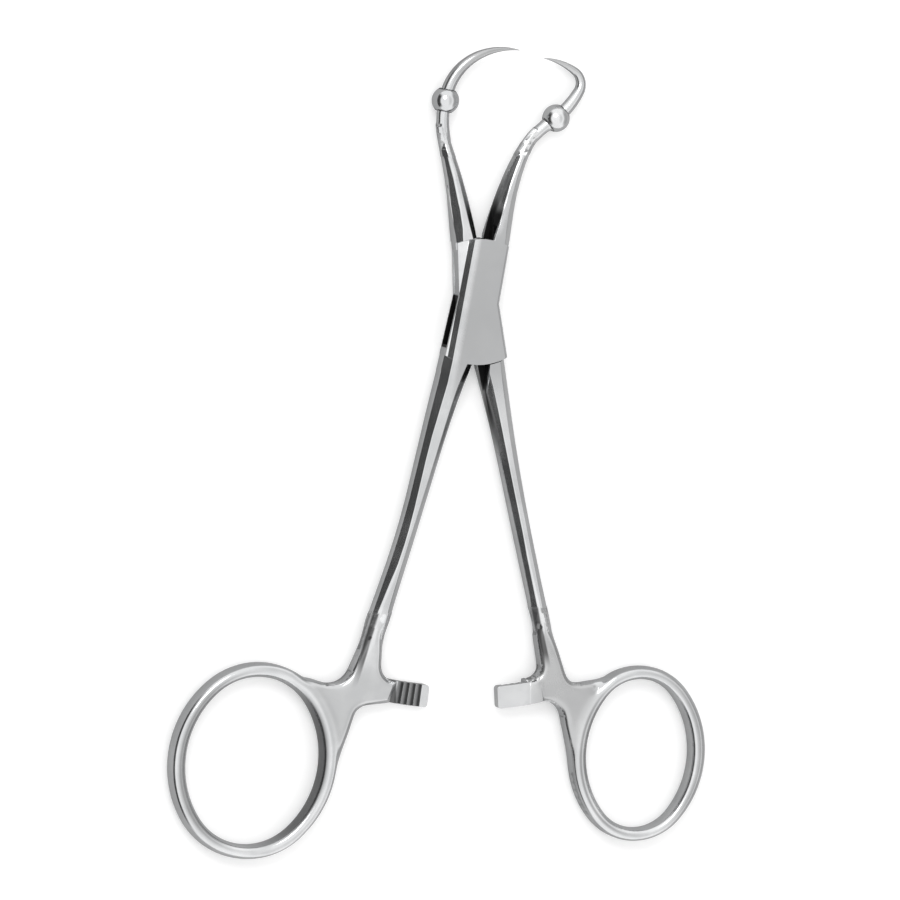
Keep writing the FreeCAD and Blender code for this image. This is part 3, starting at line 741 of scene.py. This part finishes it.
@dataclass(frozen=True)
class CrispZone:
    """A part of a forging with ground flats and narrow, even edges."""

    name: str
    cuts: tuple[Cut, ...]
    round_width: float
    wall_share: float
    face_share: float
    lock_share: float
    end_share: float
    lock_reach: float = 11.8 * MM
    pin_reach: float = 2.0 * MM
    back_height: float = 1.0 * MM

    def share(self, middle: Vector, flattest: float) -> float:
        """How much of the full rounding an edge gets.

        Args:
            middle: Middle of the edge.
            flattest: Largest upward part of the normals beside it.

        Returns:
            A share from 0 to 1.
        """
        full = self.face_share if flattest > 0.9 else self.wall_share
        lock = smooth_rise(abs(middle.y), self.lock_reach + 2.5 * MM, self.lock_reach)
        ends = max([0.0] + [smooth_rise(cut.inside(middle), 9 * MM, 0.0) for cut in self.cuts])
        full = full + (self.end_share - full) * ends
        return full + (self.lock_share - full) * lock

    def build(self, node: str) -> bpy.types.Object:
        """Make the zone from a copy of a node.

        Args:
            node: Name of the CAD node.

        Returns:
            The bevelled mesh object.
        """
        piece = copy_of_node(node, self.name)
        for cut in self.cuts:
            keep_side(piece, cut.axis, cut.place, cut.upper)
        edit(piece, lambda: bpy.ops.mesh.dissolve_limited(angle_limit=math.radians(0.6)))
        mesh = piece.data
        around: dict[tuple[int, int], list[Vector]] = {}
        for polygon in mesh.polygons:
            for key in polygon.edge_keys:
                around.setdefault(key, []).append(polygon.normal)
        weights = mesh.attributes.new("bevel_weight_edge", "FLOAT", "EDGE")
        for edge in mesh.edges:
            normals = around.get(tuple(sorted(edge.vertices)), [])
            if len(normals) != 2 or normals[0].angle(normals[1], 0.0) < math.radians(24):
                continue
            middle = (mesh.vertices[edge.vertices[0]].co + mesh.vertices[edge.vertices[1]].co) / 2
            if any(abs(getattr(middle, cut.axis) - cut.place) < 0.01 * MM for cut in self.cuts):
                continue
            reach = math.hypot(middle.x, middle.y)
            if reach < self.pin_reach or (reach < self.lock_reach and middle.z < self.back_height):
                continue
            weights.data[edge.index].value = self.share(middle, max(abs(n.z) for n in normals))
        apply_modifier(piece, "BEVEL", width=self.round_width, segments=3, limit_method="WEIGHT",
                       use_clamp_overlap=False, offset_type="OFFSET", loop_slide=True)
        only(piece)
        bpy.ops.object.shade_smooth_by_angle(angle=math.radians(32))
        apply_modifier(piece, "WEIGHTED_NORMAL", mode="FACE_AREA", weight=50, keep_sharp=True)
        return piece


@dataclass(frozen=True)
class Tine:
    """A tapering, curved and pointed tine that starts in its bead."""

    name: str
    body: Body
    start: tuple[float, float]
    heading: float
    arcs: tuple[tuple[float, float], ...]
    lift: float
    base_radius: float = 1.05 * MM
    tip_radius: float = 0.06 * MM
    middle: float = 2.45 * MM
    rise: float = 0.65
    steps: int = 72

    def stations(self) -> list[Vector]:
        """Evenly spaced points along the tine's arcs."""
        total = sum(radius * math.radians(abs(turn)) for radius, turn in self.arcs)
        points = []
        for number in range(self.steps + 1):
            share = number / self.steps
            left_over, bearing = total * share, math.radians(self.heading)
            across, along = self.start
            for radius, turn in self.arcs:
                run = min(left_over, radius * math.radians(abs(turn)))
                swing = math.copysign(run / radius, turn)
                chord = 2 * radius * math.sin(abs(swing) / 2)
                across += chord * math.sin(bearing + swing / 2)
                along += chord * math.cos(bearing + swing / 2)
                bearing += swing
                left_over -= run
            height = self.middle + self.lift * smooth_rise(share, 0.0, self.rise)
            points.append(Vector((across, along, height)))
        return points

    def build(self, finish: bpy.types.Material) -> bpy.types.Object:
        """Draw the tine as a tapered curve and turn it into a mesh.

        Args:
            finish: Not used.

        Returns:
            The tine.
        """
        points = self.stations()
        curve = bpy.data.curves.new(self.name, "CURVE")
        curve.dimensions = "3D"
        curve.bevel_depth, curve.bevel_resolution = self.base_radius, 8
        curve.use_fill_caps = True
        spline = curve.splines.new("POLY")
        spline.points.add(len(points) - 1)
        thin = self.tip_radius / self.base_radius
        for number, (station, point) in enumerate(zip(spline.points, points)):
            station.co = (*point, 1.0)
            station.radius = thin + (1 - thin) * (1 - (number / self.steps) ** 1.7)
        tine = bpy.data.objects.new(self.name, curve)
        bpy.context.scene.collection.objects.link(tine)
        only(tine)
        bpy.ops.object.convert(target="MESH")
        tine = bpy.context.active_object
        bpy.ops.object.shade_smooth_by_angle(angle=math.radians(50))
        return tine


@dataclass
class Forging:
    """One half of the clamp: jaw, lock, shank, ring and ratchet arm in one forging."""

    node: str
    name: str
    body: Body
    zones: tuple[Any, ...]
    tine: Tine

    def build(self, finish: bpy.types.Material) -> bpy.types.Object:
        """Make the forging zone by zone from its CAD node and dress it.

        Args:
            finish: Its material.

        Returns:
            The piece.
        """
        piece = merge([zone.build(self.node) for zone in self.zones] + [self.tine.build(finish)])
        piece.name = piece.data.name = self.name
        piece.vertex_groups.clear()
        piece.data.materials.clear()
        piece.data.materials.append(finish)
        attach(piece, self.body.value)
        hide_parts(self.node)
        LOG.info("%s: %d faces", self.name, len(piece.data.polygons))
        return piece


@dataclass(frozen=True)
class Bead:
    """A ball stop: a turned ball with flat ends and softened rims."""

    node: str
    name: str
    body: Body
    centre: tuple[float, float]
    heading: float
    radius: float = 2.2 * MM
    half_length: float = 1.75 * MM
    middle: float = 2.45 * MM

    def build(self, finish: bpy.types.Material) -> bpy.types.Object:
        """Turn the bead and dress it.

        Args:
            finish: Its material.

        Returns:
            The bead.
        """
        angle = math.radians(self.heading)
        way = Vector((math.sin(angle), math.cos(angle), 0.0))
        centre = Vector((*self.centre, self.middle))
        bpy.ops.object.select_all(action="DESELECT")
        bpy.ops.mesh.primitive_uv_sphere_add(
            segments=64, ring_count=48, radius=self.radius, location=centre,
            rotation=way.to_track_quat("Z", "Y").to_euler())
        bead = bpy.context.active_object
        bead.name = bead.data.name = self.name
        bpy.ops.object.transform_apply()
        for side in (1, -1):
            edit(bead, lambda: bpy.ops.mesh.bisect(
                plane_co=centre + way * self.half_length * side, plane_no=way * side,
                use_fill=True, clear_outer=True))
        apply_modifier(bead, "BEVEL", width=0.14 * MM, segments=3, limit_method="ANGLE",
                       angle_limit=math.radians(30))
        only(bead)
        bpy.ops.object.shade_smooth_by_angle(angle=math.radians(40))
        bead.data.materials.append(finish)
        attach(bead, self.body.value)
        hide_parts(self.node)
        return bead


FOOT_CUT = -50.0 * MM
NECK_CUT = 23.0 * MM
LEFT_ARM_CUT = -13.6 * MM
RIGHT_ARM_CUT = 8.6 * MM
LEFT_BEAD = (-5.06 * MM, 31.94 * MM)
RIGHT_BEAD = (13.55 * MM, 28.7 * MM)
LEFT_SPOTS = ((-0.0190, -0.0538), (-0.0289, -0.0600), (-0.0157, -0.0538))
RIGHT_SPOTS = ((0.0130, -0.0549), (0.0195, -0.0618), (0.0206, -0.0625), (0.0101, -0.0524),
               (0.0090, -0.0614))


LEFT_SLEEVE = Sleeve((-0.00515, 0.0252), (-0.00595, 0.0292), LEFT_BEAD, joint=(-0.0058, 0.0284))
RIGHT_SLEEVE = Sleeve((0.0088, 0.0248), (0.0114, 0.0276), RIGHT_BEAD, joint=(0.0106, 0.0268))
LEFT_CROOK = Sleeve((-0.0245, -0.0626), (-0.0275, -0.0620), (-0.0308, -0.0604), joint=(-0.0289, -0.0600),
                    radius=1.1 * MM)
RIGHT_CROOK = Sleeve((0.0165, -0.0636), (0.0192, -0.0636), (0.0226, -0.0626), joint=(0.0206, -0.0615),
                     radius=1.1 * MM)


def bars(name: str) -> CrispZone:
    """The crisp middle of a forging, from the neck of the jaw to the foot of the shank."""
    return CrispZone(name, (Cut("y", FOOT_CUT, True), Cut("y", NECK_CUT, False)),
                     round_width=0.5 * MM, wall_share=0.9, face_share=0.14, lock_share=0.12,
                     end_share=0.6)


def neck(name: str, bead: tuple[float, float], sleeve: Sleeve) -> SoftZone:
    """The neck of a jaw up to the middle of its bead."""
    return SoftZone(name, (Cut("y", NECK_CUT, True), Cut("y", bead[1], False, overlap=0.0)),
                    voxel=0.08 * MM, passes=45, sleeve=sleeve, fade=4.0 * MM, swell=0.07 * MM,
                    spots=(sleeve.joint,), spot_passes=120)


def arm(name: str, cut: Cut) -> CrispZone:
    """The toothed end of a ratchet arm."""
    return CrispZone(name, (Cut("y", -58.0 * MM, False), cut), round_width=0.5 * MM,
                     wall_share=0.1, face_share=0.1, lock_share=0.1, end_share=0.1)


def handle(name: str, cut: Cut, ring: RingForm, spots: tuple[tuple[float, float], ...],
           sleeve: Sleeve) -> SoftZone:
    """Foot of the shank, web, root of the ratchet arm and finger ring."""
    return SoftZone(name, (Cut("y", FOOT_CUT, False), cut), voxel=0.16 * MM, passes=55, ring=ring,
                    spots=spots, spot_radius=2.6 * MM, spot_passes=150, sleeve=sleeve)


SHADES = (
    # Painted shade in the mouth of the slot on the left side of the lock.
    Shade((-9.0, -8.0, -3.0, -2.7), (-7.7, -7.5, 0.6, 0.9), (1.15, 1.2, 3.7, 3.75)),
    # Painted shade in the recess at the root of the right jaw.
    Shade((-2.8, -2.4, 0.5, 1.0), (9.3, 9.8, 12.5, 25.0), (1.8, 2.3, 3.6, 4.15), lean=0.29, colour=0.06),
    Shade((-2.8, -2.4, -0.3, 0.1), (9.2, 9.6, 13.5, 16.5), (1.8, 2.3, 4.6, 4.9), lean=0.29),
    # Painted shade that greys the tines, for darker reflections along them; they are also made a little rougher.
    Shade((-30.0, -29.0, 40.0, 41.0), (33.0, 38.0, 50.0, 51.0), (-1.0, -0.5, 5.5, 6.0), colour=0.3,
          amount=0.55, rough=0.1),
    # Painted shade in the recess at the root of the right shank.
    Shade((-2.0, -1.6, 0.7, 1.2), (-29.0, -17.0, -10.3, -9.9), (1.8, 2.3, 3.6, 4.15), lean=-0.2,
          colour=0.06),
    Shade((-2.0, -1.6, 1.0, 1.4), (-15.0, -13.2, -10.2, -9.9), (1.8, 2.3, 4.1, 4.4), lean=-0.2),
    # Painted shade on the front of the right web and, lighter, the left one; both are also made a little rougher.
    Shade((7.5, 10.5, 19.0, 22.0), (-82.0, -76.0, -58.0, -52.0), (3.6, 4.0, 4.3, 4.7), colour=0.4,
          amount=0.6, rough=0.15),
    Shade((-30.0, -27.0, -16.0, -13.0), (-74.0, -69.0, -61.0, -56.0), (3.6, 4.0, 4.3, 4.7), colour=0.4,
          amount=0.3, rough=0.1),
    # Painted shade at the foot of the step from the left web down to its ratchet arm.
    Shade((-17.0, -16.0, -13.5, -13.1), (-69.0, -68.6, -58.4, -58.0), (1.9, 1.95, 2.4, 2.45),
          colour=0.08, amount=0.9),
    # Painted dark reflection bands along the bevels at the feet of the left shank and the right one.
    Shade((-1.3, -1.0, -0.4, -0.1), (-62.0, -57.0, -50.2, -49.6), (2.6, 3.0, 4.3, 4.4), lean=0.33,
          colour=0.06, amount=0.85),
    Shade((-2.1, -1.8, -1.2, -0.9), (-60.0, -57.0, -50.2, -49.6), (2.6, 3.0, 4.3, 4.4), lean=-0.222,
          colour=0.06, amount=0.85),
    # Painted shade crescents: right and left of the left ring, then of the right ring.
    RingShade((-37.5, -72.9), 12.55, 14.7, 10.0, (0.84, 0.88, 0.93, 1.0), side=-12.0),
    RingShade((-37.5, -72.9), 12.55, 14.7, 10.0, (0.93, 0.97, 0.99, 1.05), side=175.0, amount=0.5),
    RingShade((27.45, -74.5), 10.2, 13.2, 2.8, (0.94, 0.98, 1.0, 1.06), side=5.0, amount=0.4),
    RingShade((27.45, -74.5), 10.2, 13.2, 2.8, (0.97, 1.0, 1.0, 1.04), side=195.0, amount=0.4),
)

LEFT_RING = RingForm(
    (-37.5 * MM, -72.9 * MM), Oval(27.8 * MM, 31.7 * MM, 12.7 * MM, 12.0),
    Oval(22.4 * MM, 27.0 * MM, 9.84 * MM, 8.5), trim=-28.7 * MM, web_turn=0.0)
RIGHT_RING = RingForm(
    (27.45 * MM, -74.5 * MM), Oval(23.0 * MM, 28.5 * MM, 9.92 * MM, 3.5),
    Oval(17.7 * MM, 24.2 * MM, 7.13 * MM, 2.0), trim=20.5 * MM, web_turn=math.pi)


def on_from(place: tuple[float, float], heading: float, distance: float) -> tuple[float, float]:
    """The point a distance further along a heading."""
    angle = math.radians(heading)
    return (place[0] + distance * math.sin(angle), place[1] + distance * math.cos(angle))


@dataclass
class Studio:
    """Floor, soft light and the camera at the photograph's angle."""

    turn: float = math.radians(18.0)
    nod: float = math.radians(6.0)
    frame_width: float = 144.0 * MM
    lens: float = 360.0
    sensor: float = 36.0
    offset: tuple[float, float] = (-4.08 * MM, -24.16 * MM)
    plane: float = 2.45 * MM

    def camera(self) -> None:
        """Set up the camera."""
        right = Vector((math.cos(self.turn), 0.0, math.sin(self.turn)))
        back = Vector((-math.sin(self.turn) * math.cos(self.nod), math.sin(self.nod),
                       math.cos(self.turn) * math.cos(self.nod)))
        up = back.cross(right)
        target = Vector((0, 0, self.plane)) + right * self.offset[0] + up * self.offset[1]
        data = bpy.data.cameras.new("camera")
        data.lens, data.sensor_width = self.lens, self.sensor
        data.clip_start, data.clip_end = 0.05, 30.0
        holder = bpy.data.objects.new("camera", data)
        bpy.context.scene.collection.objects.link(holder)
        turn = Matrix((right, up, back)).transposed().to_4x4()
        distance = self.frame_width * self.lens / self.sensor
        holder.matrix_world = Matrix.Translation(target + back * distance) @ turn
        bpy.context.scene.camera = holder

    def floor(self) -> None:
        """Lay the floor."""
        bpy.ops.object.select_all(action="DESELECT")
        bpy.ops.mesh.primitive_plane_add(size=12.0, location=(0, 0, -0.01 * MM))
        floor = bpy.context.active_object
        floor.name = "floor"
        floor.data.materials.append(FloorFinish().build())

    def sky(self) -> None:
        """Light the scene from a pale room with a dark side to the left and a dim one to the right."""
        world = bpy.data.worlds.new("studio")
        bpy.context.scene.world = world
        world.use_nodes = True
        graph = Graph(world.node_tree)
        way = graph.node("ShaderNodeTexCoord", output="Generated")
        split = graph.tree.nodes.new("ShaderNodeSeparateXYZ")
        graph.tree.links.new(way.output, split.inputs[0])
        across, along, up = (Socket(graph.tree, split.outputs[i]) for i in range(3))
        left_dark = across.ramp(-0.45, -0.8) * up.ramp(0.62, 0.4)
        right_dim = across.ramp(0.55, 0.85) * up.ramp(0.68, 0.45)
        level = 1.15 - left_dark * 1.08 - right_dim * 0.7
        crown = across.ramp(0.12, 0.4) * up.ramp(0.6, 0.9)
        level = level - crown * 0.3
        seen = graph.node("ShaderNodeLightPath", output="Is Camera Ray")
        strength = level * (1.0 - seen) + seen
        ground = graph.node("ShaderNodeBackground", {"Color": grey(1.0), "Strength": strength}, "Background")
        graph.node("ShaderNodeOutputWorld", {"Surface": ground})

    def lamp(self) -> None:
        """Hang one large soft lamp to give the shadow a direction."""
        data = bpy.data.lights.new("soft_lamp", "AREA")
        data.shape, data.size, data.energy = "DISK", 0.5, 3.0
        lamp = bpy.data.objects.new("soft_lamp", data)
        bpy.context.scene.collection.objects.link(lamp)
        place = Vector((-0.35, 0.55, 0.9))
        lamp.matrix_world = Matrix.Translation(place) @ place.to_track_quat("Z", "Y").to_matrix().to_4x4()

    def build(self) -> None:
        """Set up the whole stage."""
        self.camera()
        self.floor()
        self.sky()
        self.lamp()
        bpy.context.scene.view_settings.view_transform = "Standard"


def main() -> None:
    """Build the pieces in order."""
    logging.basicConfig(level=logging.INFO, format="%(name)s: %(message)s")
    forged = SteelFinish("forged_steel_polish", satin_and_painted_shade=True, shades=SHADES).build()
    bright = SteelFinish("bead_steel_polish", roughness=0.12, roughness_swing=0.05).build()
    left_tine = Tine("left_tine", Body.TONGUE, on_from(LEFT_BEAD, 12.0, 1.0 * MM), 14.5,
                     ((12.0 * MM, 2.0), (9.1 * MM, 52.5), (11.4 * MM, 33.0)), 0.62 * MM)
    right_tine = Tine("right_tine", Body.BOX, on_from(RIGHT_BEAD, 51.5, 1.0 * MM), 50.2,
                      ((28.0 * MM, -1.2), (14.3 * MM, -17.0), (2.4 * MM, -85.0), (11.6 * MM, -28.0)),
                      -0.62 * MM)
    halves = (
        Forging("box_half", "box_forging", Body.BOX, (
            bars("box_bars"), neck("right_neck", RIGHT_BEAD, RIGHT_SLEEVE),
            arm("left_arm", Cut("x", LEFT_ARM_CUT, True)),
            handle("left_handle", Cut("x", LEFT_ARM_CUT, False), LEFT_RING, LEFT_SPOTS, LEFT_CROOK)), right_tine),
        Forging("tongue_half", "tongue_forging", Body.TONGUE, (
            bars("tongue_bars"), neck("left_neck", LEFT_BEAD, LEFT_SLEEVE),
            arm("right_arm", Cut("x", RIGHT_ARM_CUT, False)),
            handle("right_handle", Cut("x", RIGHT_ARM_CUT, True), RIGHT_RING, RIGHT_SPOTS, RIGHT_CROOK)), left_tine),
    )
    for half in halves:
        half.build(forged)
    for bead in (Bead("stop_ball_left", "left_bead", Body.TONGUE, LEFT_BEAD, 12.0),
                 Bead("stop_ball_right", "right_bead", Body.BOX, RIGHT_BEAD, 51.5)):
        bead.build(bright)
    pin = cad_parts["lock_pin"].data.materials
    pin.clear()
    pin.append(forged)
    Studio().build()


if __name__ == "__main__":
    main()
